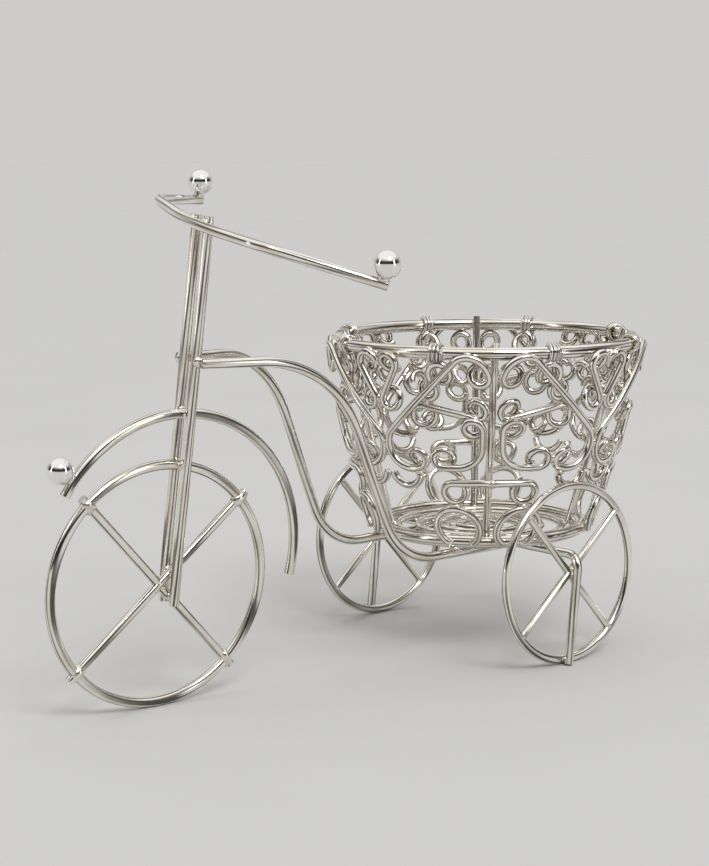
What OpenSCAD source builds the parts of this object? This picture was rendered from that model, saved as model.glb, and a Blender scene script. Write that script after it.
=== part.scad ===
// Ornamental tricycle of welded bright wire with a scroll-work basket, all sizes in mm.
// +X runs forward, +Y to the rider's left, +Z up.
// The origin is on the floor, under the middle of the rear wheels.

/* [Wire] */
// Wire of the front wheel, fork, handlebar, mudguard and frame rails
wire = 3.0; // [2:0.1:5]
// Wire of the rear wheels' rims
rear_wire = 2.6; // [2:0.1:4]
// Wire of the rear axle and its two legs
axle_wire = 2.8; // [2:0.1:4]
// Wire of the basket's two rings
ring_wire = 4.0; // [3:0.1:6]
// Wire of the basket's uprights, scrolls and floor
scroll_wire = 2.4; // [1.6:0.1:3]
// How much thinner a spoke is than its rim
spoke_slimmer = 0.3; // [0.2:0.05:0.6]
// Clearance left for the weld wherever two wires meet
weld_gap = 0.05; // [0.02:0.01:0.2]

/* [Front wheel] */
// Distance from the rear wheels' line to the front wheel's foot
wheelbase = 125.0; // [100:1:160]
// Radius of the front rim at the middle of its wire
front_radius = 35.0; // [28:0.5:42]
// How far the front spokes stand out past the middle of the rim
front_spoke_tip = 2.6; // [1.6:0.1:4]
// Angle of the first spoke above the horizontal, on all wheels
spoke_angle = 48; // [30:1:60]
// Angle between the two crossed spokes
spoke_cross = 92; // [80:1:100]
// Lean of the hand-set front end to its left
lean = 3.6; // [0:0.1:6]
// Turn of the hand-set front end, positive to its left
steer = -3.6; // [-8:0.1:8]

/* [Fork] */
// Rake of the two fork rods
fork_rake = 4.8; // [0:0.1:12]
// How far the rods pass behind the hub
fork_setback = 3.8; // [0:0.1:6]
// Height of the rods' upper ends above the hub
fork_top = 105.4; // [90:0.5:120]
// How far the rods' lower ends reach below the hub
fork_foot = 6.0; // [3:0.5:12]

/* [Handlebar] */
// Height of the bar's middle above the hub
bar_height = 103.6; // [85:0.1:103.8]
// Half width of the bar between its two corners
bar_half_front = 27; // [24:0.5:40]
// Setback of the corners behind the middle
bar_bow = 5.6; // [1:0.1:8]
// Half width of the bar at its ends
bar_half_end = 48.8; // [38:0.5:60]
// Setback of the ends behind the middle
bar_sweep = 34.7; // [20:0.5:40]
// Drop of the ends below the middle
bar_drop = 6.5; // [0:0.5:10]
// Tilt of the bar, left end down
bar_tilt = 8.6; // [0:0.1:10]
// Bend radius at the middle of the bar
bar_middle_bend = 60; // [30:1:90]
// Bend radius at the bar's two corners
bar_corner_bend = 11; // [6:0.5:14]
// Diameter of the ball on each grip
grip_ball = 8.0; // [6:0.1:12]
// How far each ball sits in from the end of its grip
grip_ball_inset = 2.2; // [1:0.1:5]

/* [Mudguard] */
// Radius of the mudguard arch at the middle of its wire
guard_radius = 41.7; // [38:0.5:50]
// Setback of the arch's centre behind the hub
guard_back = 5.2; // [0:0.1:12]
// Height of the arch's centre above the hub
guard_up = 7.7; // [4:0.1:14]
// Angle at which the arch starts in front
guard_front = 31; // [10:1:50]
// Angle through which the arch runs
guard_run = 164; // [120:1:190]
// Diameter of the ball on the arch's front end
lamp_ball = 7.8; // [6:0.1:12]
// Angle of the ball past the arch's front end
lamp_past = 6.7; // [2:0.5:12]

/* [Frame rails] */
// Height above the hub at which the rails meet the fork
rail_height = 64.5; // [50:0.5:80]
// How far the rails stand out in front of the fork
rail_nose = 0.2; // [0:0.1:3]
// Distance of the rails' shoulders in front of the rear wheels' line
shoulder_x = 74.6; // [65:0.5:90]
// Height of the rails' shoulders above the floor
shoulder_z = 98.9; // [80:0.5:110]
// Half width between the rails at their shoulders
shoulder_half = 16.3; // [6:0.1:20]
// Distance of the rails' lower corners in front of the rear wheels' line
knee_x = 46.7; // [38:0.5:60]
// Half width between the rails under the basket
rail_half = 17.6; // [12:0.5:22]
// Bend radius of the shoulders
shoulder_bend = 36.7; // [12:0.1:40]
// Bend radius of the lower corners
knee_bend = 21.7; // [8:0.1:26]

/* [Rear wheels] */
// Distance between the middles of the rear rims
track = 89.0; // [80:0.5:110]
// Radius of the rear rims at the middle of their wire
rear_radius = 27.4; // [22:0.1:29]
// How far the rear spokes stand out past the middle of the rim
rear_spoke_tip = 0.6; // [0:0.1:3]
// Setback of the axle behind the rear wheels' line
axle_back = 1.6; // [0:0.1:3]
// How far the legs' feet stand in front of the rear wheels' line
foot_front = 2.5; // [0:0.1:4]
// Height of the middle of the legs' cut ends above the floor
foot_rise = 0.35; // [0.3:0.05:1]
// Bend radius at the axle's two ends
axle_bend = 4.2; // [3:0.1:5]

/* [Basket] */
// Height of the base ring's middle above the floor
base_z = 37.6; // [36:0.1:45]
// Height of the top ring's middle above the floor
top_z = 98.2; // [80:0.1:120]
// Radius of the base ring at the middle of its wire
base_radius = 32.5; // [28:0.1:36]
// Radius of the top ring at the middle of its wire
top_radius = 47.8; // [40:0.1:56]
// Setback of the base ring's centre behind the rear wheels' line
base_back = 4.2; // [0:0.1:10]
// Setback of the top ring's centre behind the rear wheels' line
top_back = 6.2; // [0:0.1:12]
// Turn of the basket about its upright axis
basket_turn = 5; // [-10:1:10]
// How far the uprights stand above the top ring's middle
upright_over = 2.9; // [2:0.1:8]
// How far the uprights reach below the base ring's middle
upright_under = 0.6; // [0:0.1:1.5]
// How far the panels of scrolls stand out from the rings' cone half way up
scroll_bulge = 1.5; // [0:0.1:3]

/* [Hidden] */
$fn = 64;
chrome = "silver";
// Swell and half length of the collar that joins a straight and a bend, and the room left for it in both
collar_swell = 0.06;
collar_half = 0.3;
collar_room = 0.12;
// The two crossed spokes pass each other by this much to either side of the rim's middle
spoke_stagger = 0.1;
front_spoke = wire - spoke_slimmer;
rear_spoke = rear_wire - spoke_slimmer;
rod_half = max(wire / 2, front_spoke / 2 + spoke_stagger) + wire / 2 + weld_gap;
rear_hub_z = rear_radius + rear_wire / 2;
leg_half = track / 2 + max(rear_wire / 2, rear_spoke / 2 + spoke_stagger) + axle_wire / 2 + weld_gap;
axle_z = base_z - ring_wire / 2 - axle_wire / 2 - weld_gap;
rail_z = base_z - ring_wire / 2 - wire / 2 - weld_gap;
rail_end_x = -axle_back + axle_wire / 2 + weld_gap;
cone_run = top_z - base_z;
cone_angle = atan((top_radius - base_radius) / cone_run);
slant = cone_run / cos(cone_angle);
// Uprights are welded to the inside of both rings and scrolls to their outside, this far from their middle
inset = (ring_wire / 2 + scroll_wire / 2 + weld_gap) / cos(cone_angle);
layer_pitch = scroll_wire + weld_gap;
quarter = 90;

function unit(v) = v / norm(v);
function mix(a, b, t) = a + (b - a) * t;
// Turns of a frame, from its three axes
function frame_turns(x, y, z) = [atan2(y[2], z[2]), -asin(x[2]), atan2(x[1], x[0])];
// A point of the leaning and turned front end, measured from the hub, in the tricycle's own axes
function tilted(p) = [p[0], p[1] * cos(lean) + p[2] * sin(lean), p[2] * cos(lean) - p[1] * sin(lean)];
function turned(p) = [p[0] * cos(steer) - p[1] * sin(steer), p[0] * sin(steer) + p[1] * cos(steer), p[2]];
function front_at(p) = [wheelbase, 0, wire / 2] + turned(tilted(p + [0, 0, front_radius]));
function rod_x(up) = -fork_setback - up * tan(fork_rake);

// A straight wire from a to b
module straight(a, b, d) {
  u = unit(b - a);
  translate(a) rotate([0, acos(u[2]), atan2(u[1], u[0])]) cylinder(h = norm(b - a), d = d);
}

// How far a bend of radius r takes up the straights before and after point p
function bend_reach(a, p, b, r) = r * tan(acos(unit(p - a) * unit(b - p)) / 2);

// The bend at p on the way from a to b, with a collar at either end
module bend(a, p, b, r, d) {
  u = unit(p - a);
  w = unit(b - p);
  reach = bend_reach(a, p, b, r);
  normal = unit(cross(u, w));
  inward = cross(normal, u);
  room = collar_room / r * 180 / PI;
  translate(p - u * reach + inward * r) rotate(frame_turns(-inward, u, normal)) rotate([0, 0, room])
    rotate_extrude(angle = acos(u * w) - 2 * room, $fn = 128) translate([r, 0]) circle(d = d);
  for (way = [[p - u * reach, u], [p + w * reach, w]])
    straight(way[0] - way[1] * collar_half, way[0] + way[1] * collar_half, d + collar_swell);
}

// A wire through points, bent to the given radius at each point between the ends
module bent_wire(points, radii, d) {
  last = len(points) - 1;
  cut = [for (i = [0 : last]) (i == 0 || i == last) ? 0
    : collar_room + bend_reach(points[i - 1], points[i], points[i + 1], radii[i - 1])];
  for (i = [0 : last - 1]) let (u = unit(points[i + 1] - points[i]))
    straight(points[i] + u * cut[i], points[i + 1] - u * cut[i + 1], d);
  for (i = [1 : last - 1]) bend(points[i - 1], points[i], points[i + 1], radii[i - 1], d);
}

module ring(r, d, from = 0, run = 360) {
  rotate([0, 0, from]) rotate_extrude(angle = run, $fn = 128) translate([r, 0]) circle(d = d);
}

// A wheel in the XZ plane about the origin: a wire rim with two crossed spokes welded across it
module wire_wheel(r, d, spoke, tip) {
  rotate([90, 0, 0]) ring(r, d);
  for (i = [0, 1]) translate([0, (i - 0.5) * 2 * spoke_stagger, 0])
    rotate([0, 90 - spoke_angle - i * spoke_cross, 0]) cylinder(h = 2 * (r + tip), d = spoke, center = true);
}

// Puts the front end, drawn about the hub, on its place
module front_end() {
  translate([wheelbase, 0, wire / 2]) rotate([0, 0, steer]) rotate([-lean, 0, 0])
    translate([0, 0, front_radius]) children();
}

module front_wheel() {
  color(chrome) front_end() wire_wheel(front_radius, wire, front_spoke, front_spoke_tip);
}

module fork_rod(side) {
  color(chrome) front_end() straight([rod_x(-fork_foot), side * rod_half, -fork_foot],
    [rod_x(fork_top), side * rod_half, fork_top], wire);
}
module fork_rod_left() { fork_rod(1); }
module fork_rod_right() { fork_rod(-1); }

bow_angle = atan(bar_bow / bar_half_front);
bar_ahead = (wire + weld_gap) / cos(fork_rake) + rod_half * rod_half / bar_middle_bend / 2;
bar_middle = [rod_x(bar_height) + bar_ahead, 0, bar_height];
bar_nose = bar_middle_bend * (1 / cos(bow_angle) - 1);
function bar_corner(side) = [bar_nose - bar_bow, side * bar_half_front, 0];
function bar_end(side) = [bar_nose - bar_sweep, side * bar_half_end, -bar_drop];

// Puts the bar, drawn about its own middle, in front of the fork rods
module on_bar() {
  front_end() translate(bar_middle) rotate([-bar_tilt, 0, 0]) children();
}

module handlebar() {
  color(chrome) on_bar() bent_wire(
    [bar_end(-1), bar_corner(-1), [bar_nose, 0, 0], bar_corner(1), bar_end(1)],
    [bar_corner_bend, bar_middle_bend, bar_corner_bend], wire);
}

module grip_ball_on(side) {
  along = unit(bar_end(side) - bar_corner(side));
  across = unit(cross([0, 0, 1], along));
  up = cross(along, across);
  seat = bar_end(side) - along * grip_ball_inset;
  color(chrome) on_bar() translate(seat + up * (grip_ball / 2 + wire / 2 + weld_gap)) sphere(d = grip_ball);
}
module grip_ball_left() { grip_ball_on(1); }
module grip_ball_right() { grip_ball_on(-1); }

// Puts the mudguard, drawn flat about its own centre, over the front wheel
module on_guard() {
  front_end() translate([-guard_back, 0, guard_up]) rotate([90, 0, 0]) children();
}

module mudguard() { color(chrome) on_guard() ring(guard_radius, wire, guard_front, guard_run); }

module lamp_ball_front() {
  color(chrome) on_guard() rotate([0, 0, guard_front + lamp_past])
    translate([guard_radius + wire / 2 + lamp_ball / 2 + weld_gap, 0]) sphere(d = lamp_ball);
}

function rail_nose_at(side) =
  front_at([rod_x(rail_height) + rail_nose, side * (rod_half + wire + weld_gap), rail_height]);
rail_middle = front_at([rod_x(rail_height), 0, rail_height]);
shoulder_y = rail_middle[1] * shoulder_x / rail_middle[0];

module frame_rail(side) {
  color(chrome) bent_wire(
    [rail_nose_at(side), [shoulder_x, shoulder_y + side * shoulder_half, shoulder_z],
     [knee_x, side * rail_half, rail_z], [rail_end_x, side * rail_half, rail_z]],
    [shoulder_bend, knee_bend], wire);
}
module frame_rail_left() { frame_rail(1); }
module frame_rail_right() { frame_rail(-1); }

// One wire: a leg, the axle under the basket, the other leg
module rear_axle() {
  color(chrome) bent_wire(
    [[foot_front, -leg_half, foot_rise], [-axle_back, -leg_half, axle_z],
     [-axle_back, leg_half, axle_z], [foot_front, leg_half, foot_rise]],
    [axle_bend, axle_bend], axle_wire);
}

module rear_wheel(side) {
  color(chrome) translate([0, side * track / 2, rear_hub_z])
    wire_wheel(rear_radius, rear_wire, rear_spoke, rear_spoke_tip);
}
module rear_wheel_left() { rear_wheel(1); }
module rear_wheel_right() { rear_wheel(-1); }

module basket_base_ring() { color(chrome) translate([-base_back, 0, base_z]) ring(base_radius, ring_wire); }
module basket_top_ring() { color(chrome) translate([-top_back, 0, top_z]) ring(top_radius, ring_wire); }

// Floor: loops laid on the rails and the axle, the widest one within the uprights' feet
floor_z = max(axle_z + axle_wire / 2, rail_z + wire / 2) + scroll_wire / 2 + weld_gap;
floor_widest = base_radius - inset - layer_pitch;
floor_loops = 4;
module basket_floor() {
  color(chrome) translate([-base_back, 0, floor_z])
    for (i = [1 : floor_loops]) ring(floor_widest * i / floor_loops, scroll_wire);
}

// Layers of the uprights and the scrolls: t runs from 0 at the base ring to 1 at the top ring
function upright_radius(t) = mix(base_radius, top_radius, t) - inset;
function scroll_radius(t) = mix(base_radius, top_radius, t) + inset + 4 * scroll_bulge * t * (1 - t);
function out_at(a) = [cos(a) * cos(cone_angle), sin(a) * cos(cone_angle), -sin(cone_angle)];
function round_basket(t, a, r) =
  [r * cos(a) - mix(base_back, top_back, t), r * sin(a), mix(base_z, top_z, t)];
function upright_point(t, a) = round_basket(t, a, upright_radius(t));

module upright(corner) {
  a = (corner + 0.5) * quarter + basket_turn;
  color(chrome)
    straight(upright_point(-upright_under / slant, a),
      upright_point(1 + upright_over / slant, a), scroll_wire);
}
module upright_front_left() { upright(0); }
module upright_rear_left() { upright(1); }
module upright_rear_right() { upright(2); }
module upright_front_right() { upright(3); }

// The scrolls are drawn flat, in a panel of this height and these half widths, and laid round the basket
// so that neighbouring panels meet in front of the uprights
drawn_height = 62.5;
drawn_half_base = 26.9;
drawn_half_top = 38.95;
function clear_angle(t) = quarter / 2 - layer_pitch / 2 / scroll_radius(t) * 180 / PI;
function panel_angle(q, middle) = let (t = q[1] / drawn_height)
  middle + q[0] / mix(drawn_half_base, drawn_half_top, t) * clear_angle(t);
// A point [left, up, layers inward] of a panel
function on_panel(q, middle) = let (t = q[1] / drawn_height, a = panel_angle(q, middle))
  round_basket(t, a, scroll_radius(t)) - q[2] * layer_pitch * out_at(a);

// A scroll is a wire led round circles, with straights between them. A circle is [left, up, radius, way],
// where way is 1 for a turn to the left and -1 for a turn to the right. An eye at the end of a scroll
// passes inside its own wire where it has come round, and goes on as a coil.
arc_step = 1.4;
straight_step = 7;
tuck_from = 150;
tuck_to = 285;
function tuck(turned) = turned < tuck_from ? 0
  : turned < tuck_to ? (turned - tuck_from) / (tuck_to - tuck_from) : 1 + (turned - tuck_to) / 360;
function whole_turn(a) = a - 360 * floor(a / 360);
function on_circle(c, heading) = [c[0] + c[2] * c[3] * sin(heading), c[1] - c[2] * c[3] * cos(heading)];
function tangent_heading(a, b) = let (d = [b[0] - a[0], b[1] - a[1]])
  atan2(d[1], d[0]) + asin((a[2] * a[3] - b[2] * b[3]) / norm(d));
// Points round a circle; the turn already made is given where the points end in an eye
function arc_points(c, from, turn, eye = [0, 0]) =
  let (n = max(2, ceil(abs(turn) * PI / 180 * sqrt(c[2]) / arc_step)))
  [for (j = [0 : n]) concat(on_circle(c, from + turn * j / n), tuck(mix(eye[0], eye[1], j / n)))];
function between(p, q) = let (n = ceil(norm(q - p) / straight_step))
  [for (j = [1 : 1 : n - 1]) concat(mix(p, q, j / n), 0)];
function scroll_path(circles, first, last) = let (
    n = len(circles),
    headings = [for (i = [0 : 1 : n - 2]) tangent_heading(circles[i], circles[i + 1])]
  ) n == 1 ? arc_points(circles[0], -circles[0][3] * first, circles[0][3] * (first + last))
  : [for (i = [0 : n - 1]) let (c = circles[i], way = c[3]) each concat(
      i == 0 ? arc_points(c, headings[0] - way * first, way * first, [first, 0])
      : i == n - 1 ? arc_points(c, headings[i - 1], way * last, [0, last])
      : arc_points(c, headings[i - 1], way * whole_turn(way * (headings[i] - headings[i - 1]))),
      i == n - 1 ? [] : between(on_circle(c, headings[i]), on_circle(circles[i + 1], headings[i])))];

// A round wire swept along points of a panel
scroll_sides = 6;
module scroll_sweep(flat, middle) {
  path = [for (q = flat) on_panel(q, middle)];
  n = len(path);
  rim = [for (i = [0 : n - 1]) let (
      along = unit(path[min(i + 1, n - 1)] - path[max(i - 1, 0)]),
      side = unit(cross(out_at(panel_angle(flat[i], middle)), along)),
      top = cross(along, side)
    ) for (k = [0 : scroll_sides - 1]) let (a = 360 * k / scroll_sides)
      path[i] + scroll_wire / 2 * (cos(a) * top + sin(a) * side)];
  polyhedron(rim, concat(
    [[for (k = [0 : scroll_sides - 1]) k]],
    [for (i = [0 : n - 2]) for (k = [0 : scroll_sides - 1]) let (m = (k + 1) % scroll_sides)
      [i * scroll_sides + k, (i + 1) * scroll_sides + k, (i + 1) * scroll_sides + m, i * scroll_sides + m]],
    [[for (k = [scroll_sides - 1 : -1 : 0]) (n - 1) * scroll_sides + k]]));
}

// Scrolls of half a panel, mirrored for the other half:
// [circles, turn round the first eye, turn round the last eye, layers inward]
half_scrolls = [
  // long scroll from the top ring to the middle of the panel
  [[[-33.9, 55.6, 2.8, -1], [-30.8, 55.8, 5.8, -1], [-8.6, 32.2, 7.4, -1], [-10.8, 28.2, 2.9, -1]],
   345, 345, 0],
  // open scroll beside the upright
  [[[-29.6, 38.4, 2.9, 1], [-22.9, 34.6, 8.8, 1], [-18.9, 28.6, 2.8, 1]], 345, 345, 0],
  // coil and hook under the top ring, behind the long scroll
  [[[-20.9, 55.2, 3.3, -1], [-16.5, 50.3, 3.0, 1]], 460, 250, 1],
  // eye and coil behind the open scroll and the long scroll
  [[[-31.5, 43.8, 2.8, 1], [-13.7, 41.7, 3.4, -1]], 345, 460, 1],
  // ring tied to the next panel's ring in front of the upright
  [[[-20.9, 17.5, 3.2, 1], [-29.9, 15.0, 5.8, 1]], 345, 20, 0],
  // hanging bow beside the middle
  [[[-6.2, 24.0, 5.0, 1]], 74, 74, 0],
  // horseshoe on the base ring
  [[[-19.9, 5.4, 6.5, -1]], 142, 142, 0],
  // pair of eyes under the top ring, beside the middle
  [[[-4.3, 58.7, 3.0, 1], [-4.1, 47.0, 2.8, -1]], 345, 345, 0]
];

module scroll_panel(panel) {
  color(chrome) for (row = half_scrolls, side = [1, -1])
    scroll_sweep([for (q = scroll_path(row[0], row[1], row[2])) [side * q[0], q[1], q[2] + row[3]]],
      panel * quarter + basket_turn);
}
module scrolls_front() { scroll_panel(0); }
module scrolls_left() { scroll_panel(1); }
module scrolls_rear() { scroll_panel(2); }
module scrolls_right() { scroll_panel(3); }

front_wheel();
fork_rod_left();
fork_rod_right();
handlebar();
grip_ball_left();
grip_ball_right();
mudguard();
lamp_ball_front();
frame_rail_left();
frame_rail_right();
rear_axle();
rear_wheel_left();
rear_wheel_right();
basket_base_ring();
basket_top_ring();
basket_floor();
upright_front_left();
upright_rear_left();
upright_rear_right();
upright_front_right();
scrolls_left();
scrolls_rear();
scrolls_right();
scrolls_front();
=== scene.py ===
# %% [markdown]
# # A wire tricycle with a scroll-work basket
#
# The object is a small ornament: a tricycle bent and welded from bright plated wire, with a round basket of scrolls
# over its two rear wheels. The exact wires come packed from the CAD model as a fixed frame. This lesson dresses that
# frame: it sets up the camera and a plain studio, gives the plating its finish, lays smooth wires over the faceted
# scrolls and the bent wires, winds the binding wire round the top ring and sets a bead on every weld.

import bmesh
import bpy
import numpy as np
from mathutils import Matrix, Vector


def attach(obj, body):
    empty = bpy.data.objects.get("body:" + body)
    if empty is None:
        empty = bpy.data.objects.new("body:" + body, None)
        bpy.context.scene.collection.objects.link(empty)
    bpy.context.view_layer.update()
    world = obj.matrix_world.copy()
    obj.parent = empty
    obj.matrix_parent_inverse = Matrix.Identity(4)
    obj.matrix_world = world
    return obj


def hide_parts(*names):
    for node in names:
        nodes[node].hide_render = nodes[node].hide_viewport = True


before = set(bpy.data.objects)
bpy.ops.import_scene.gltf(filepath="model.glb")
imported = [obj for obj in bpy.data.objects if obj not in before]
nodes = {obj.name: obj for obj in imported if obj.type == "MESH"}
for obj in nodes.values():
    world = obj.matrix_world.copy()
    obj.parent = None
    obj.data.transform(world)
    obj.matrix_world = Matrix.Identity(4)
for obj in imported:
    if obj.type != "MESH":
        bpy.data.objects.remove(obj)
scene = bpy.context.scene
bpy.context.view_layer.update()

# %% [markdown]
# ## Camera
#
# A photograph fixes where its camera stood once some sizes are known. Here the outlines of the three wheels and of
# the basket's two rings were fitted together, which gave the camera's place, its three axes and its focal length. The
# camera is set from those axes directly. A look-at constraint would also work, but it would lose the slight roll.

# %% Camera at the photograph's place
camera_at = np.array([0.44717, 0.47054, 0.16520])
camera_axes = {"right": (-0.76349, 0.64582, -0.00306), "up": (-0.09836, -0.11160, 0.98887),
               "back": (0.63829, 0.75529, 0.14873)}
focal_pixels, frame_height = 2016.0, 866

camera_data = bpy.data.cameras.new("photo_camera")
camera_data.sensor_width = 36.0
camera_data.lens = focal_pixels * camera_data.sensor_width / frame_height
camera_data.clip_start, camera_data.clip_end = 0.01, 50.0
camera = bpy.data.objects.new("photo_camera", camera_data)
scene.collection.objects.link(camera)
turn = np.eye(4)
turn[:3, 0], turn[:3, 1], turn[:3, 2], turn[:3, 3] = *camera_axes.values(), camera_at
camera.matrix_world = Matrix(turn.tolist())
scene.camera = camera
scene.view_settings.view_transform = "Standard"
print("lens", round(camera_data.lens, 2), "mm, distance", round(float(np.linalg.norm(camera_at)), 3), "m")

# %% [markdown]
# ## Studio
#
# Bright wire has hardly any colour of its own: it shows the room. In a room that is equally pale all round it would
# look flat, so the room is bright overhead, pale behind the object and all round the horizon, and dim half way up on
# the camera's side. That dim band draws the dark line along each wire. A wide sun lamp makes the soft shadow, and two
# tall strips at the sides draw a thin bright line next to the dark one.

# %% Floor and room
def grid_mesh(name, points):
    """Mesh of a grid of points (rows along u, columns along v): each cell of the grid is one quad."""
    rows, cols = points.shape[:2]
    u, v = np.arange(rows - 1)[:, None], np.arange(cols - 1)[None, :]
    quads = np.stack([u * cols + v, (u + 1) * cols + v, (u + 1) * cols + v + 1, u * cols + v + 1], -1).reshape(-1, 4)
    mesh = bpy.data.meshes.new(name)
    mesh.from_pydata(points.reshape(-1, 3).tolist(), [], quads.tolist())
    return mesh


def add_piece(name, mesh):
    """Links a mesh as an object at the origin: points that meet, as at a pole, are merged, and shading is smooth."""
    work = bmesh.new()
    work.from_mesh(mesh)
    bmesh.ops.remove_doubles(work, verts=work.verts, dist=1e-7)
    work.to_mesh(mesh)
    work.free()
    mesh.polygons.foreach_set("use_smooth", np.ones(len(mesh.polygons), dtype=bool))
    mesh.update()
    piece = bpy.data.objects.new(name, mesh)
    scene.collection.objects.link(piece)
    return piece


floor_reach, floor_rows = 8.0, 17
floor_side = np.linspace(-floor_reach, floor_reach, floor_rows)
floor_points = np.stack(np.meshgrid(floor_side, floor_side, [0.0], indexing="ij"), -1)[:, :, 0]
floor = add_piece("studio_floor", grid_mesh("studio_floor", floor_points))
floor_paint = bpy.data.materials.new("floor_paint")
floor_paint.use_nodes = True
make, join = floor_paint.node_tree.nodes.new, floor_paint.node_tree.links.new
paint = floor_paint.node_tree.nodes["Principled BSDF"]
paint.inputs["Roughness"].default_value = 0.8
paint.inputs["Specular IOR Level"].default_value = 0.1
place, speckle, tone = make("ShaderNodeTexCoord"), make("ShaderNodeTexNoise"), make("ShaderNodeMix")
speckle.inputs["Scale"].default_value = 9.0
tone.data_type = "RGBA"
darker_paint, paler_paint = (0.57, 0.57, 0.57, 1), (0.60, 0.60, 0.59, 1)
tone.inputs["A"].default_value, tone.inputs["B"].default_value = darker_paint, paler_paint
join(place.outputs["Object"], speckle.inputs["Vector"])
join(speckle.outputs["Fac"], tone.inputs["Factor"])
join(tone.outputs["Result"], paint.inputs["Base Color"])
floor.data.materials.append(floor_paint)
print("floor", (np.ptp(floor_points, axis=(0, 1))).tolist(), "m")

# %% Room that is bright overhead, pale low down and dim half way up on the camera's side
room = bpy.data.worlds.new("studio_room")
scene.world = room
room.use_nodes = True
make, join = room.node_tree.nodes.new, room.node_tree.links.new
wall = room.node_tree.nodes["Background"]
wall.inputs["Color"].default_value = (1.0, 0.99, 0.97, 1)


def set_sockets(node, **values):
    """Writes constants straight on a node's sockets; the _ in a name stands for a space."""
    for socket, value in values.items():
        node.inputs[socket.replace("_", " ")].default_value = value


def eased(value, limits, at_low, at_high):
    """A socket that goes smoothly from one value to another between two limits of its input."""
    ease = make("ShaderNodeMapRange")
    ease.interpolation_type = "SMOOTHSTEP"
    set_sockets(ease, From_Min=limits[0], From_Max=limits[1], To_Min=at_low, To_Max=at_high)
    join(value, ease.inputs["Value"])
    return ease.outputs["Result"]


pale, dim, bright = 0.61, 0.03, 0.95
low_wall, ceiling, camera_side = (0.06, 0.14), (0.36, 0.76), (-0.10, 0.75)
away_from_camera = (-0.645, -0.764, 0.0)
look = make("ShaderNodeTexCoord")
ahead, height = make("ShaderNodeVectorMath"), make("ShaderNodeSeparateXYZ")
middle, level = make("ShaderNodeMix"), make("ShaderNodeMix")
ahead.operation = "DOT_PRODUCT"
ahead.inputs[1].default_value = away_from_camera
join(look.outputs["Generated"], ahead.inputs[0])
join(look.outputs["Generated"], height.inputs["Vector"])
join(eased(height.outputs["Z"], low_wall, 0.0, 1.0), middle.inputs["Factor"])
middle.inputs["A"].default_value = pale
join(eased(ahead.outputs["Value"], camera_side, dim, pale), middle.inputs["B"])
join(eased(height.outputs["Z"], ceiling, 0.0, 1.0), level.inputs["Factor"])
join(middle.outputs["Result"], level.inputs["A"])
level.inputs["B"].default_value = bright
join(level.outputs["Result"], wall.inputs["Strength"])
print("room", [n.bl_idname for n in room.node_tree.nodes])

# %% Lamps
def aimed(name, data, at, aim):
    """A lamp at one point, turned so that it shines at another."""
    lamp = bpy.data.objects.new(name, data)
    scene.collection.objects.link(lamp)
    back = np.array(at, float) - np.array(aim, float)
    back /= np.linalg.norm(back)
    right = np.cross((0, 0, 1), back)
    right /= np.linalg.norm(right)
    pose = np.eye(4)
    pose[:3, 0], pose[:3, 1], pose[:3, 2], pose[:3, 3] = right, np.cross(back, right), back, at
    lamp.matrix_world = Matrix(pose.tolist())
    return lamp


centre = (0.05, 0.0, 0.07)
key = bpy.data.lights.new("key_lamp", "SUN")
key_from, key_strength, key_width = (0.30, 0.95, 1.25), 1.25, np.radians(24)
key.energy, key.angle = key_strength, key_width
aimed("key_lamp", key, key_from, centre)
for name, at, wide, high, watts in (("strip_left", (1.05, -0.30, 0.45), 0.14, 0.80, 0.8),
                                    ("strip_right", (-0.25, 1.10, 0.45), 0.20, 0.80, 1.2)):
    strip = bpy.data.lights.new(name, "AREA")
    strip.shape, strip.size, strip.size_y, strip.energy = "RECTANGLE", wide, high, watts
    aimed(name, strip, at, centre).visible_camera = False

# %% [markdown]
# ## Finish of the plating
#
# The wire is drawn steel with a bright nickel and chrome plating. Seen close, three things keep it from being a
# perfect mirror: long dark and bright lines, a soft cloudiness of the plating, and a warmer, duller
# tone where heat and handling have touched it. The dark lines are partly drawing marks and partly painted reflection:
# near-black colour along the wire where dark surroundings would be mirrored. Two node groups give these. The lines are
# the bands of a wave about a millimetre apart across the wire, made uneven by a noise that hardly changes along it. On
# a wire that lies in a plane, the direction across that plane is across the wire everywhere, so one Mapping node
# turned to it is enough. Wires made in this lesson carry a UV map instead, with six bands round each wire so that they
# close at its seam.

# %% Clouds of the plating
def new_group(name, inputs, outputs):
    """An empty shader node group with named sockets."""
    group = bpy.data.node_groups.new(name, "ShaderNodeTree")
    for socket, kind, value in inputs:
        made = group.interface.new_socket(name=socket, in_out="INPUT", socket_type=kind)
        if value is not None:
            made.default_value = value
    for socket, kind in outputs:
        group.interface.new_socket(name=socket, in_out="OUTPUT", socket_type=kind)
    return group, group.nodes.new("NodeGroupInput"), group.nodes.new("NodeGroupOutput")


clouds, c_in, c_out = new_group(
    "plating_clouds",
    [("Vector", "NodeSocketVector", None), ("Scale", "NodeSocketFloat", 90.0),
     ("Bright", "NodeSocketColor", (0.88, 0.86, 0.82, 1)), ("Dull", "NodeSocketColor", (0.74, 0.69, 0.60, 1)),
     ("Smooth", "NodeSocketFloat", 0.10), ("Rough", "NodeSocketFloat", 0.26)],
    [("Color", "NodeSocketColor"), ("Roughness", "NodeSocketFloat"), ("Height", "NodeSocketFloat")])
make, join = clouds.nodes.new, clouds.links.new
broad = make("ShaderNodeTexNoise")
set_sockets(broad, Detail=4.0)
join(c_in.outputs["Vector"], broad.inputs["Vector"])
join(c_in.outputs["Scale"], broad.inputs["Scale"])
spread = make("ShaderNodeMapRange")
set_sockets(spread, From_Min=0.42, From_Max=0.72)
join(broad.outputs["Fac"], spread.inputs["Value"])
tint = make("ShaderNodeMix")
tint.data_type = "RGBA"
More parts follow.
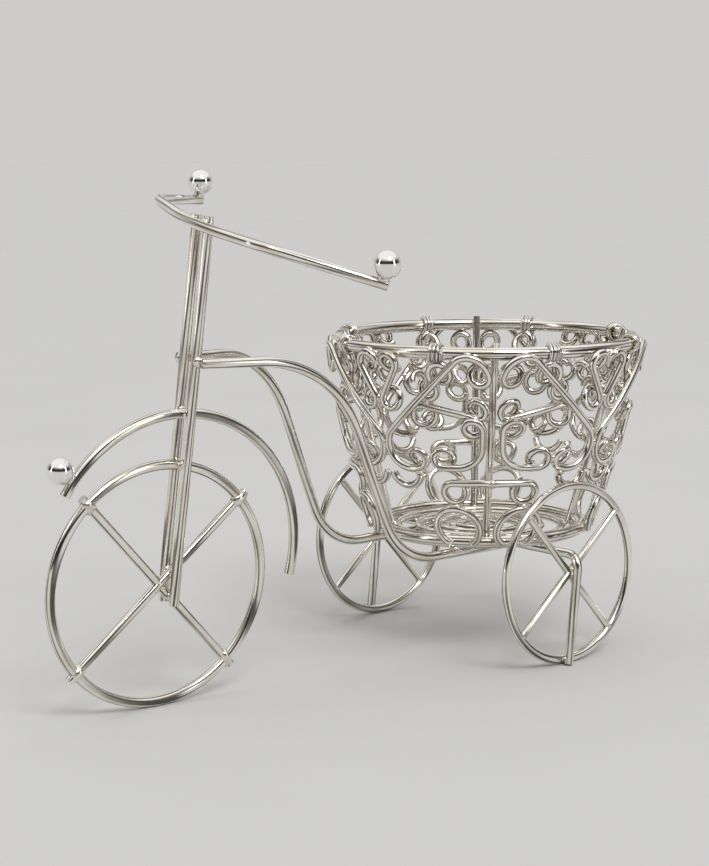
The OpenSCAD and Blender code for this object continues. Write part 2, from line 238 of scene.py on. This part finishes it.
join(spread.outputs["Result"], tint.inputs["Factor"])
join(c_in.outputs["Bright"], tint.inputs["A"])
join(c_in.outputs["Dull"], tint.inputs["B"])
gloss = make("ShaderNodeMix")
join(spread.outputs["Result"], gloss.inputs["Factor"])
join(c_in.outputs["Smooth"], gloss.inputs["A"])
join(c_in.outputs["Rough"], gloss.inputs["B"])
peel = make("ShaderNodeTexNoise")
set_sockets(peel, Scale=900.0, Detail=2.0)
join(c_in.outputs["Vector"], peel.inputs["Vector"])
join(tint.outputs["Result"], c_out.inputs["Color"])
join(gloss.outputs["Result"], c_out.inputs["Roughness"])
join(peel.outputs["Fac"], c_out.inputs["Height"])
print("group", clouds.name, len(clouds.nodes), "nodes")

# %% Dark lines along the wire: drawing marks and painted reflection lines
# The near-black Line colour is painted into the wire's colour along it: partly drawing marks, partly painted dark
# reflection lines.
lines, l_in, l_out = new_group(
    "drawing_and_reflection_lines",
    [("Vector", "NodeSocketVector", None), ("Color", "NodeSocketColor", None), ("Roughness", "NodeSocketFloat", 0.1),
     ("Line", "NodeSocketColor", (0.06, 0.055, 0.05, 1)), ("Share", "NodeSocketFloat", 0.5)],
    [("Color", "NodeSocketColor"), ("Roughness", "NodeSocketFloat"), ("Height", "NodeSocketFloat")])
make, join = lines.nodes.new, lines.links.new
fine, patch = make("ShaderNodeTexWave"), make("ShaderNodeTexNoise")
fine.bands_direction = "DIAGONAL"
set_sockets(fine, Scale=0.343, Distortion=2.6, Detail=2.0, Detail_Scale=2.0)
set_sockets(patch, Scale=0.8, Detail=2.0)
join(l_in.outputs["Vector"], fine.inputs["Vector"])
join(l_in.outputs["Vector"], patch.inputs["Vector"])
strength = make("ShaderNodeMapRange")
set_sockets(strength, From_Min=0.32, From_Max=0.58, To_Min=0.30)
join(patch.outputs["Fac"], strength.inputs["Value"])
join(l_in.outputs["Share"], strength.inputs["To Max"])
streak = make("ShaderNodeMapRange")
set_sockets(streak, From_Min=0.50, From_Max=0.86)
join(fine.outputs["Fac"], streak.inputs["Value"])
join(strength.outputs["Result"], streak.inputs["To Max"])
# This mix paints the dark lines into the base colour: drawing marks and painted reflection lines.
drawn_and_reflection_line_mix, dull = make("ShaderNodeMix"), make("ShaderNodeMath")
drawn_and_reflection_line_mix.data_type = "RGBA"
join(streak.outputs["Result"], drawn_and_reflection_line_mix.inputs["Factor"])
join(l_in.outputs["Color"], drawn_and_reflection_line_mix.inputs["A"])
join(l_in.outputs["Line"], drawn_and_reflection_line_mix.inputs["B"])
dull.operation = "MULTIPLY_ADD"
line_roughness = 0.12
dull.inputs[1].default_value = line_roughness
join(streak.outputs["Result"], dull.inputs[0])
join(l_in.outputs["Roughness"], dull.inputs[2])
join(drawn_and_reflection_line_mix.outputs["Result"], l_out.inputs["Color"])
join(dull.outputs["Value"], l_out.inputs["Roughness"])
join(fine.outputs["Fac"], l_out.inputs["Height"])
print("group", lines.name, len(lines.nodes), "nodes")

# %% Materials of wire, balls and welds
def plated(name, bright, dull, smooth, rough, scale, depth=0.02):
    """A plated metal: clouds set colour and roughness, and their fine peel, depth mm deep, makes the bump."""
    finish = bpy.data.materials.new(name)
    finish.use_nodes = True
    make, join = finish.node_tree.nodes.new, finish.node_tree.links.new
    metal = finish.node_tree.nodes["Principled BSDF"]
    where, cloud, bump = make("ShaderNodeTexCoord"), make("ShaderNodeGroup"), make("ShaderNodeBump")
    cloud.node_tree = clouds
    set_sockets(metal, Metallic=1.0)
    set_sockets(cloud, Scale=scale, Bright=(*bright, 1), Dull=(*dull, 1), Smooth=smooth, Rough=rough)
    set_sockets(bump, Strength=0.35, Distance=depth * 1e-3)
    join(where.outputs["Object"], cloud.inputs["Vector"])
    join(cloud.outputs["Color"], metal.inputs["Base Color"])
    join(cloud.outputs["Roughness"], metal.inputs["Roughness"])
    join(cloud.outputs["Height"], bump.inputs["Height"])
    join(bump.outputs["Normal"], metal.inputs["Normal"])
    return finish, where, cloud, bump, metal


warm, tarnish = (0.93, 0.90, 0.84), (0.78, 0.72, 0.61)
# line_share sets how dark the painted lines get: drawing marks and painted reflection lines together.
line_unit, line_length, units_round, line_share = 0.50, 26.0, 11.0, 0.92


def lined_wire(name, across=None):
    """Plated wire with dark lines along it, partly drawing marks and partly painted reflection: across is the
    direction in which the lines change, None for a UV map.

    The pattern's unit is line_unit mm across the wire, or a share of its way round, and line_length mm along it.
    """
    finish, where, cloud, bump, metal = plated(name, warm, tarnish, 0.10, 0.22, 95.0)
    make, join = finish.node_tree.nodes.new, finish.node_tree.links.new
    turn, line_group = make("ShaderNodeMapping"), make("ShaderNodeGroup")
    line_group.node_tree = lines
    set_sockets(line_group, Share=line_share)
    if across is None:
        set_sockets(turn, Scale=(units_round, 1 / line_length, 1.0))
        join(where.outputs["UV"], turn.inputs["Vector"])
    else:
        turn.vector_type = "TEXTURE"
        set_sockets(turn, Rotation=Vector(across).to_track_quat("Z", "Y").to_euler(),
                    Scale=(line_length * 1e-3, line_length * 1e-3, line_unit * 1e-3))
        join(where.outputs["Object"], turn.inputs["Vector"])
    join(turn.outputs["Vector"], line_group.inputs["Vector"])
    join(cloud.outputs["Color"], line_group.inputs["Color"])
    join(cloud.outputs["Roughness"], line_group.inputs["Roughness"])
    join(line_group.outputs["Color"], metal.inputs["Base Color"])
    join(line_group.outputs["Roughness"], metal.inputs["Roughness"])
    join(line_group.outputs["Height"], bump.inputs["Height"])
    return finish


wire_with_uv = lined_wire("lined_wire")
ball_polish = plated("ball_polish", (0.93, 0.92, 0.90), (0.87, 0.85, 0.82), 0.03, 0.09, 160.0, 0.004)[0]
weld_plating = plated("weld_plating", (0.88, 0.85, 0.79), (0.60, 0.53, 0.43), 0.18, 0.40, 420.0, 0.12)[0]
wheel_axis, rod_across = (0.063, 0.996, -0.063), (0.995, -0.063, 0.083)
across_of = {"front_wheel": wheel_axis, "mudguard": wheel_axis, "rear_wheel": (0, 1, 0), "basket": (0, 0, 1),
             "fork_rod": rod_across}
upright_angles = {"front_left": 50, "rear_left": 140, "rear_right": 230, "front_right": 320}
for corner, a in upright_angles.items():
    across_of["upright_" + corner] = (-np.sin(np.radians(a)), np.cos(np.radians(a)), 0)
# Each of these materials carries the dark lines: drawing marks and painted reflection lines.
lined_by_direction = {part: lined_wire("drawn_" + part, across) for part, across in across_of.items()}
for name, node in nodes.items():
    finish = next((lined_by_direction[part] for part in across_of if name.startswith(part)), wire_with_uv)
    node.data.materials.clear()
    node.data.materials.append(ball_polish if "ball" in name else finish)
print("materials", [m.name for m in bpy.data.materials if m.users])

# %% [markdown]
# ## Scroll wires
#
# Each panel of the basket is filled with scrolls: wires led round a few circles with straights between them, like a
# belt round pulleys. A curve object could do it, but here the path is worked out exactly: for two circles, the
# straight that touches both has a known heading. The flat drawing of half a panel is then laid round the outside of
# the two rings and mirrored, and a round section is carried along it. These smooth wires stand for the faceted solids.

# %% Sizes of the basket, in millimetres
wire_d, ring_d, gap = 2.4, 4.0, 0.05
base_r, top_r, base_z, top_z, base_x, top_x = 32.5, 47.8, 37.6, 98.2, -4.2, -6.2
slope = np.arctan((top_r - base_r) / (top_z - base_z))
inset = (ring_d / 2 + wire_d / 2 + gap) / np.cos(slope)
pitch = wire_d + gap
panel_high, panel_half_base, panel_half_top, bulge = 62.5, 26.9, 38.95, 1.5
basket_turn = 5.0


def panel_frame(left, up, middle):
    """Points and outward normals of the layer: left and up measure the flat panel, middle is the panel's angle."""
    t = up / panel_high
    r = base_r + (top_r - base_r) * t + inset + 4 * bulge * t * (1 - t)
    clear = np.pi / 4 - pitch / 2 / r
    a = np.radians(middle) + left / (panel_half_base + (panel_half_top - panel_half_base) * t) * clear
    point = np.stack([r * np.cos(a) + base_x + (top_x - base_x) * t, r * np.sin(a), base_z + (top_z - base_z) * t], -1)
    out = np.stack([np.cos(a) * np.cos(slope), np.sin(a) * np.cos(slope), np.full_like(a, -np.sin(slope))], -1)
    return point, out


print("layer radius at both rings", round(base_r + inset, 2), round(top_r + inset, 2))

# %% Paths round circles
def tucked(turned):
    """Layers inward after so many degrees round an eye: it passes inside its own wire and goes on as a coil."""
    return np.interp(turned, [0, 150, 285, 1005], [0, 0, 1, 3])


def belt(circles, first, last, step=0.45):
    """A wire round circles [left, up, radius, way]: arcs, and the straights that touch two neighbours.

    The heading of such a straight is the direction between the two centres plus the angle whose sine is the
    difference of the signed radii over their distance. First and last are the degrees round the two end circles.
    """
    c = np.array(circles, float)
    signed = c[:, 2] * c[:, 3]
    gone = np.diff(c[:, :2], axis=0)
    headings = np.arctan2(gone[:, 1], gone[:, 0]) + np.arcsin(-np.diff(signed) / np.hypot(*gone.T))
    runs = []
    for i, (x, y, r, way) in enumerate(circles):
        if len(circles) == 1:
            start, sweep, eye = -way * np.radians(first), way * np.radians(first + last), (0, 0)
        elif i == 0:
            start, sweep, eye = headings[0] - way * np.radians(first), way * np.radians(first), (first, 0)
        elif i == len(circles) - 1:
            start, sweep, eye = headings[-1], way * np.radians(last), (0, last)
        else:
            start, eye = headings[i - 1], (0, 0)
            sweep = way * ((way * (headings[i] - headings[i - 1])) % (2 * np.pi))
        h = start + sweep * np.linspace(0, 1, max(4, int(abs(sweep) * r / step)))
        turned = np.linspace(eye[0], eye[1], len(h))
        runs.append(np.stack([x + r * way * np.sin(h), y - r * way * np.cos(h), tucked(turned)], -1))
    path = np.concatenate(runs)
    along = np.r_[0, np.cumsum(np.maximum(np.linalg.norm(np.diff(path[:, :2], axis=0), axis=1), 1e-6))]
    even = np.linspace(0, along[-1], int(along[-1] / step))
    return np.stack([np.interp(even, along, path[:, k]) for k in range(3)], -1)


half_scrolls = [
    ("long", [(-33.9, 55.6, 2.8, -1), (-30.8, 55.8, 5.8, -1), (-8.6, 32.2, 7.4, -1), (-10.8, 28.2, 2.9, -1)],
     345, 345, 0),
    ("open", [(-29.6, 38.4, 2.9, 1), (-22.9, 34.6, 8.8, 1), (-18.9, 28.6, 2.8, 1)], 345, 345, 0),
    ("hook", [(-20.9, 55.2, 3.3, -1), (-16.5, 50.3, 3.0, 1)], 460, 250, 1),
    ("coil", [(-31.5, 43.8, 2.8, 1), (-13.7, 41.7, 3.4, -1)], 345, 460, 1),
    ("tied_ring", [(-20.9, 17.5, 3.2, 1), (-29.9, 15.0, 5.8, 1)], 345, 20, 0),
    ("bow", [(-6.2, 24.0, 5.0, 1)], 74, 74, 0),
    ("horseshoe", [(-19.9, 5.4, 6.5, -1)], 142, 142, 0),
    ("pair", [(-4.3, 58.7, 3.0, 1), (-4.1, 47.0, 2.8, -1)], 345, 345, 0),
]
flat_scrolls = [(belt(circles, first, last), layers) for _, circles, first, last, layers in half_scrolls]
drawn_lengths = [np.linalg.norm(np.diff(flat[:, :2], axis=0), axis=1).sum() for flat, _ in flat_scrolls]
print("wire in half a panel", round(sum(drawn_lengths)), "mm")

# %% Round wire along a path
def wire_tube(path, radius, guide, sides=14, round_ends=3):
    """A round section carried along a path (mm), closed by a rounded cut at both ends.

    At each point the section lies across the path's direction; guide is a direction that keeps it from twisting.
    Returns grid points (along, around) and the distance along the wire of each row.
    """
    way = np.gradient(path, axis=0)
    way /= np.linalg.norm(way, axis=1, keepdims=True)
    across = np.cross(guide, way)
    across /= np.linalg.norm(across, axis=1, keepdims=True)
    other = np.cross(way, across)
    bend = np.linspace(0, np.pi / 2, round_ends + 1)
    soft = 0.25
    cap, swell = soft * radius * np.cos(bend), np.r_[0.0, 1 - soft * (1 - np.sin(bend[1:]))]
    centre = np.concatenate([path[:1] - way[:1] * cap[:, None], path, path[-1:] + way[-1:] * cap[::-1, None]])
    size = np.r_[swell, np.ones(len(path)), swell[::-1]] * radius
    pick = np.r_[np.zeros(len(cap), int), np.arange(len(path)), np.full(len(cap), len(path) - 1)]
    a = np.linspace(0, 2 * np.pi, sides, endpoint=False)
    ring = np.cos(a)[None, :, None] * across[pick][:, None] + np.sin(a)[None, :, None] * other[pick][:, None]
    points = centre[:, None] + ring * size[:, None, None]
    return points, np.r_[0, np.cumsum(np.linalg.norm(np.diff(centre, axis=0), axis=1))]


def joined(name, grids, lengths):
    """One mesh of many tube grids (mm), each closed round its section, with a UV map of turn and length."""
    verts, faces, corner_uv, start = [], [], [], 0
    for points, far in zip(grids, lengths):
        rows, cols = points.shape[:2]
        u, v = np.arange(rows - 1)[:, None], np.arange(cols)[None, :]
        v1 = (v + 1) % cols
        quads = np.stack([u * cols + v, u * cols + v1, (u + 1) * cols + v1, (u + 1) * cols + v], -1).reshape(-1, 4)
        turn = (v[..., None] + np.zeros((rows - 1, 1, 1)) + [0, 1, 1, 0]).reshape(-1, 4) / cols
        length = far[quads // cols]
        verts.append(points.reshape(-1, 3) / 1000)
        faces.append(quads + start)
        corner_uv.append(np.stack([turn, length], -1).reshape(-1, 2))
        start += rows * cols
    mesh = bpy.data.meshes.new(name)
    mesh.from_pydata(np.concatenate(verts).tolist(), [], np.concatenate(faces).tolist())
    mesh.uv_layers.new(name="along_wire").data.foreach_set("uv", np.concatenate(corner_uv).astype(np.float32).ravel())
    return mesh


scroll_lines = []
for panel, node in enumerate(("scrolls_front", "scrolls_left", "scrolls_rear", "scrolls_right")):
    tubes = []
    for flat, layers in flat_scrolls:
        for mirrored in (1, -1):
            point, out = panel_frame(mirrored * flat[:, 0], flat[:, 1], 90 * panel + basket_turn)
            line = point - out * ((flat[:, 2] + layers) * pitch)[:, None]
            tubes.append(wire_tube(line, wire_d / 2, out))
            scroll_lines.append((line, wire_d / 2))
    piece = add_piece("smooth_" + node, joined("smooth_" + node, *zip(*tubes)))
    piece.data.materials.append(wire_with_uv)
    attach(piece, "root")
    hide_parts(node)
    print(piece.name, len(piece.data.polygons), "faces")

# %% [markdown]
# ## Lines of every wire
#
# The handlebar, the two frame rails and the axle are bent from one length of wire each. In the solids a narrow collar
# covers the joint of each straight and bend; the real wire has none, so a smooth sweep stands for these four. For
# that, and later for the welds, every wire is written as a line of points with a radius. The alternative, reading the
# lines back from the meshes, would be longer and less exact.

# %% Lines of points for straight, bent and round wires
run_step = 0.5


def straight_run(a, b, step=run_step):
    """Even points on the straight from a to b."""
    a, b = np.array(a, float), np.array(b, float)
    return a + (b - a) * np.linspace(0, 1, int(np.linalg.norm(b - a) / step) + 2)[:, None]


def bent_run(corners, radii, step=run_step):
    """A wire through corners: straights, and at each corner the arc of the given radius that touches both of them."""
    p = np.array(corners, float)
    parts, start = [], p[0]
    for i, r in enumerate(radii, 1):
        u, w = ((q - o) / np.linalg.norm(q - o) for o, q in ((p[i - 1], p[i]), (p[i], p[i + 1])))
        turn = np.arccos(u @ w)
        reach, inward = r * np.tan(turn / 2), (w - u * (u @ w)) / np.sin(turn)
        a = np.linspace(0, turn, int(turn * r / step) + 2)[:, None]
        touch = p[i] - u * reach
        parts += [straight_run(start, touch), touch + r * (np.sin(a) * u + (1 - np.cos(a)) * inward)]
        start = p[i] + w * reach
    return np.concatenate(parts + [straight_run(start, p[-1])])


def flat_hoop(r, first=0, sweep=360, step=run_step):
    """An arc of a circle in the floor's plane."""
    a = np.radians(first + np.linspace(0, sweep, int(np.radians(sweep) * r / step)))
    return np.stack([r * np.cos(a), r * np.sin(a), 0 * a], -1)


spoke_angles, standing = (48, 140), [0, 2, 1]


def wheel_lines(r, d, spoke_d, half):
    """A rim in the XZ plane and its two crossed spokes, each reaching half its length from the hub."""
    spokes = [straight_run(*(way * half * np.array([np.cos(a), 0, np.sin(a)]) for way in (-1, 1)))
              for a in np.radians(spoke_angles)]
    return [(flat_hoop(r)[:, standing], d / 2)] + [(line, spoke_d / 2) for line in spokes]


print("points on a hoop of 10 mm", len(flat_hoop(10)))

# %% Places on the leaning, turned front end
main_r, wheel_r, wheelbase = 1.5, 35, 125
lean, steer, rake, bar_tilt = np.radians((3.6, -3.6, 4.8, 8.6))
rod_out, rod_back, bar_up, bar_bend = 3.05, 3.8, 103.6, 60


def front_at(points):
    """Points measured from the front hub, in the tricycle's own axes: leaned about X, then turned about Z."""
    x, y, z = (np.asarray(points, float) + (0, 0, wheel_r)).T
    y, z = y * np.cos(lean) + z * np.sin(lean), z * np.cos(lean) - y * np.sin(lean)
    forward, sideways = x * np.cos(steer) - y * np.sin(steer), x * np.sin(steer) + y * np.cos(steer)
    return np.stack([forward + wheelbase, sideways, z + main_r], -1)


def rod_x(up):
    """How far a raked fork rod stands in front of the hub at a height."""
    return -rod_back - up * np.tan(rake)


def on_bar(points):
    """Points of the handlebar, drawn about its own middle, tilted and set in front of the rods."""
    x, y, z = np.asarray(points, float).T
    ahead = rod_out / np.cos(rake) + rod_out ** 2 / (2 * bar_bend)
    return np.stack([x + rod_x(bar_up) + ahead, y * np.cos(bar_tilt) + z * np.sin(bar_tilt),
                     z * np.cos(bar_tilt) - y * np.sin(bar_tilt) + bar_up], -1)


print("bar's middle in mm", front_at(on_bar([(0, 0, 0)]))[0].round(1).tolist())

# %% Wires and balls of the front end
rod_foot, rod_top = -6, 105.4
front_lines = wheel_lines(wheel_r, 3.0, 2.7, 37.6)
front_lines += [(straight_run((rod_x(rod_foot), y, rod_foot), (rod_x(rod_top), y, rod_top)), main_r)
                for y in (rod_out, -rod_out)]
elbow_back, elbow_out, elbow_bend = 5.6, 27, 11
nose = bar_bend * (1 / np.cos(np.arctan(elbow_back / elbow_out)) - 1)
right_arm = [(nose - 34.7, -48.8, -6.5), (nose - elbow_back, -elbow_out, 0)]
left_arm = [(x, -y, z) for x, y, z in right_arm]
bar = [*right_arm, (nose, 0, 0), *left_arm[::-1]]
front_lines += [(on_bar(bent_run(bar, [elbow_bend, bar_bend, elbow_bend])), main_r)]
bent_wires = {"handlebar": (front_at(front_lines[-1][0]), main_r, (0, 0.15, 1))}
guard_r, guard_first, guard_sweep, guard_at = 41.7, 31, 164, (-5.2, 0, 7.7)
front_lines += [(flat_hoop(guard_r, guard_first, guard_sweep)[:, standing] + guard_at, main_r)]
grip_r, grip_back, grip_up = 4.0, 2.2, 5.55
for end, elbow in (right_arm, left_arm):
    along = np.subtract(end, elbow) / np.linalg.norm(np.subtract(end, elbow))
    across = np.cross((0, 0, 1), along)
    lift = np.cross(along, across / np.linalg.norm(across))
    front_lines.append((on_bar([np.array(end) - along * grip_back + lift * grip_up]), grip_r))
lamp_r, lamp_away, lamp = 3.9, 47.15, np.radians(37.7)
front_lines.append((np.array([[lamp_away * np.cos(lamp), 0, lamp_away * np.sin(lamp)]]) + guard_at, lamp_r))
lines_of_wire = [(front_at(line), r) for line, r in front_lines]
print("front wires and balls", len(lines_of_wire))

# %% Wires of the frame and the rear wheels
rail_up, rail_out, rail_low, rail_bends = 64.5, 17.6, 34.05, [36.7, 21.7]
rise_x, rise_out, rise_z = 74.6, 16.3, 98.9
rear_hub_out, rear_hub_up = 44.5, 28.7
neck = front_at([(rod_x(rail_up), 0, rail_up)])[0]
for node, side in (("frame_rail_left", 1), ("frame_rail_right", -1)):
    rail_nose = front_at([(rod_x(rail_up) + 0.2, side * 2 * rod_out, rail_up)])[0]
    rise = (rise_x, neck[1] * rise_x / neck[0] + side * rise_out, rise_z)
    feet = [(x, side * rail_out, rail_low) for x in (46.7, -0.15)]
    rail = bent_run([rail_nose, rise, *feet], rail_bends)
    lines_of_wire.append((rail, main_r))
    bent_wires[node] = (rail, main_r, (0, 1, 0))
    lines_of_wire += [(line + (0, side * rear_hub_out, rear_hub_up), r)
                      for line, r in wheel_lines(27.4, 2.6, 2.3, 28.0)]
axle_r, axle_bend, leg_out = 1.4, 4.2, 47.25
right_leg = [(2.5, -leg_out, 0.35), (-1.6, -leg_out, 34.15)]
left_leg = [(x, -y, z) for x, y, z in right_leg[::-1]]
axle = bent_run([*right_leg, *left_leg], [axle_bend, axle_bend])
lines_of_wire.append((axle, axle_r))
bent_wires["rear_axle"] = (axle, axle_r, (1, 0, 0))
print("wires and balls before the basket", len(lines_of_wire))

# %% Wires of the basket
lines_of_wire += [(flat_hoop(r) + (x, 0, z), ring_d / 2)
                  for r, x, z in ((base_r, base_x, base_z), (top_r, top_x, top_z))]
widest_loop, loops, loop_z = 26.7, 4, 36.8
lines_of_wire += [(flat_hoop(widest_loop * i / loops) + (base_x, 0, loop_z), wire_d / 2) for i in range(1, loops + 1)]
upright_foot, upright_top = -0.6, 65.4
for a in np.radians(list(upright_angles.values())):
    t = np.linspace(upright_foot, upright_top, 130) / panel_high
    r = base_r + (top_r - base_r) * t - inset
    upright = [r * np.cos(a) + base_x + (top_x - base_x) * t, r * np.sin(a), base_z + (top_z - base_z) * t]
    lines_of_wire.append((np.stack(upright, -1), wire_d / 2))
lines_of_wire += scroll_lines
print("wires", len(lines_of_wire), "points", sum(len(line) for line, _ in lines_of_wire))

# %% Smooth sweeps for the bent wires
for node, (line, r, guide) in bent_wires.items():
    apart = np.r_[True, np.linalg.norm(np.diff(line, axis=0), axis=1) > 1e-4]
    line = line[apart][1:-1]
    points, far = wire_tube(line, r, np.broadcast_to(guide, line.shape), sides=24)
    piece = add_piece("smooth_" + node, joined("smooth_" + node, [points], [far]))
    piece.data.materials.append(wire_with_uv)
    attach(piece, "root")
    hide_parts(node)
    print(piece.name, round(float(far[-1]), 1), "mm of wire")

# %% [markdown]
# ## Binding wire
#
# Under the top ring each panel has two coils, and a thin soft wire ties them to the ring: a few tight turns side by
# side and a tail that goes down to the coil. A screw modifier could wind it, but the turns have to follow the ring's
# own curve, so the path is worked out as a helix about the ring's middle line.

# %% Turns of binding wire round the top ring
tie_d, tie_turns, tie_gap, tied_coil = 1.15, 3, 0.04, 20.9
tail_turn, tail_in, tail_down = 1.6, 1.2, 2.6
away = ring_d / 2 + tie_d / 2
clear = np.pi / 4 - pitch / 2 / (top_r + inset)
turned = np.linspace(-0.25, tie_turns + 0.25, 40 * tie_turns) * 2 * np.pi
tail = np.clip((turned - 2 * np.pi * (tie_turns - 0.05)) / tail_turn, 0, 1) ** 2
tie_tubes = []
for panel in range(4):
    for left in (-tied_coil, tied_coil):
        coil_angle = np.radians(90 * panel + basket_turn) + left / panel_half_top * clear
        a = coil_angle + (turned / (2 * np.pi) - tie_turns / 2) * (tie_d + tie_gap) / top_r
        r = top_r + away * np.cos(turned) - tail_in * tail
        z = top_z + away * np.sin(turned) - tail_down * tail
        line = np.stack([r * np.cos(a) + top_x, r * np.sin(a), z], -1)
        guide = np.stack([-np.sin(a), np.cos(a), 0 * a], -1)
        tie_tubes.append(wire_tube(line, tie_d / 2, guide, sides=10))
ties = add_piece("binding_wire", joined("binding_wire", *zip(*tie_tubes)))
ties.data.materials.append(wire_with_uv)
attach(ties, "root")
print(ties.name, len(tie_tubes), "ties", len(ties.data.polygons), "faces")

# %% [markdown]
# ## Weld beads
#
# Wherever two wires meet, the maker has set a spot of weld, and the plating has run over it: a small uneven bead in
# the notch between the wires, and a knob where a spoke crosses its rim. Placing nearly two hundred of them by hand
# would not stay true to the wires. With the line and the radius of each wire known, a bead goes wherever two lines
# come as close as their radii. Each bead is a squashed ball of a few dozen faces.

# %% Places where two wires meet
def meetings(one, other, reach=0.35):
    """Where two wires come within reach: for each such stretch of the first, its closest pair of points."""
    (p, rp), (q, rq) = one, other
    room = rp + rq + reach
    if np.any(p.min(0) - room > q.max(0)) or np.any(q.min(0) - room > p.max(0)):
        return []
    far = np.linalg.norm(p[:, None] - q[None], axis=-1)
    slack = far.min(1) - rp - rq
    edge = np.diff(np.r_[0, (slack < reach).astype(int), 0])
    found = []
    for first, last in zip(np.flatnonzero(edge == 1), np.flatnonzero(edge == -1)):
        i = first + slack[first:last].argmin()
        found.append((i, far[i].argmin(), far[i].min()))
    return found


def heading(line, i):
    """Direction of a line of points at one of them; a ball has none."""
    if len(line) == 1:
        return np.array([0.0, 0.0, 1.0])
    way = line[min(i + 1, len(line) - 1)] - line[max(i - 1, 0)]
    return way / np.linalg.norm(way)


print("wires to search", len(lines_of_wire))

# %% Place, turn and size of each bead
notch_bead, hub_bead = np.array([1.3, 1.2, 0.62]), np.array([1.1, 1.1, 1.1])
front_knob, rear_knob = np.array([1.45, 1.95, 1.35]), np.array([1.15, 1.2, 1.08])
centres, axes, sizes = [], [], []
for k, (p, rp) in enumerate(lines_of_wire):
    for q, rq in lines_of_wire[k + 1:]:
        for i, j, apart in meetings((p, rp), (q, rq)):
            along, beside = heading(p, i), heading(q, j)
            through = apart < 0.5 * (rp + rq)
            normal = np.cross(along, beside) if through else q[j] - p[i]
            normal /= np.linalg.norm(normal) + 1e-9
            along = along - normal * (along @ normal)
            along /= np.linalg.norm(along) + 1e-9
            small, large = sorted((rp, rq))
            past_crossing = run_step * min(j, len(q) - 1 - j)
            outward = beside * (1 if j > len(q) / 2 else -1)
            if not through:
                shape, shift = notch_bead * small, 0
            elif past_crossing > 4:
                shape, shift = hub_bead * large, 0
            elif past_crossing > 1.5:
                shape, shift = front_knob * large, -0.4
            else:
                shape, shift = rear_knob * large, -0.6
            centres.append(p[i] + (q[j] - p[i]) * rp / (rp + rq) + shift * outward)
            axes.append(np.stack([along, np.cross(normal, along), normal]))
            sizes.append(shape)
centres, axes, sizes = np.array(centres), np.array(axes), np.array(sizes)
floor_clearance = 0.1
keep = centres[:, 2] - sizes.max(1) > floor_clearance
centres, axes, sizes = centres[keep], axes[keep], sizes[keep]
print("welds", len(centres))

# %% Beads on those places
bead_rows, bead_columns = 7, 8
lat = np.linspace(-np.pi / 2, np.pi / 2, bead_rows)
lon = np.linspace(0, 2 * np.pi, bead_columns, endpoint=False)
ball = np.stack(np.broadcast_arrays(np.cos(lat)[:, None] * np.cos(lon), np.cos(lat)[:, None] * np.sin(lon),
                                    np.sin(lat)[:, None] + 0 * lon), -1)
chance = np.random.default_rng(7)
lobes, phases = chance.uniform(0.04, 0.14, len(centres)), chance.uniform(0, 2 * np.pi, (len(centres), 2))
uneven = 1 + lobes[:, None, None] * (np.cos(2 * lon + phases[:, :1])[:, None] * np.cos(lat)[:, None]
                                     + 0.7 * np.sin(3 * lat + phases[:, 1:])[:, :, None] * np.cos(lat)[:, None])
lumps = ball * uneven[..., None] * sizes[:, None, None]
bead_points = centres[:, None, None] + np.einsum("nuvk,nkx->nuvx", lumps, axes)
beads = add_piece("weld_beads", joined("weld_beads", bead_points, [np.zeros(bead_rows)] * len(centres)))
beads.data.materials.append(weld_plating)
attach(beads, "root")
print(beads.name, len(beads.data.polygons), "faces, lowest", round(float(bead_points[..., 2].min()), 2), "mm")
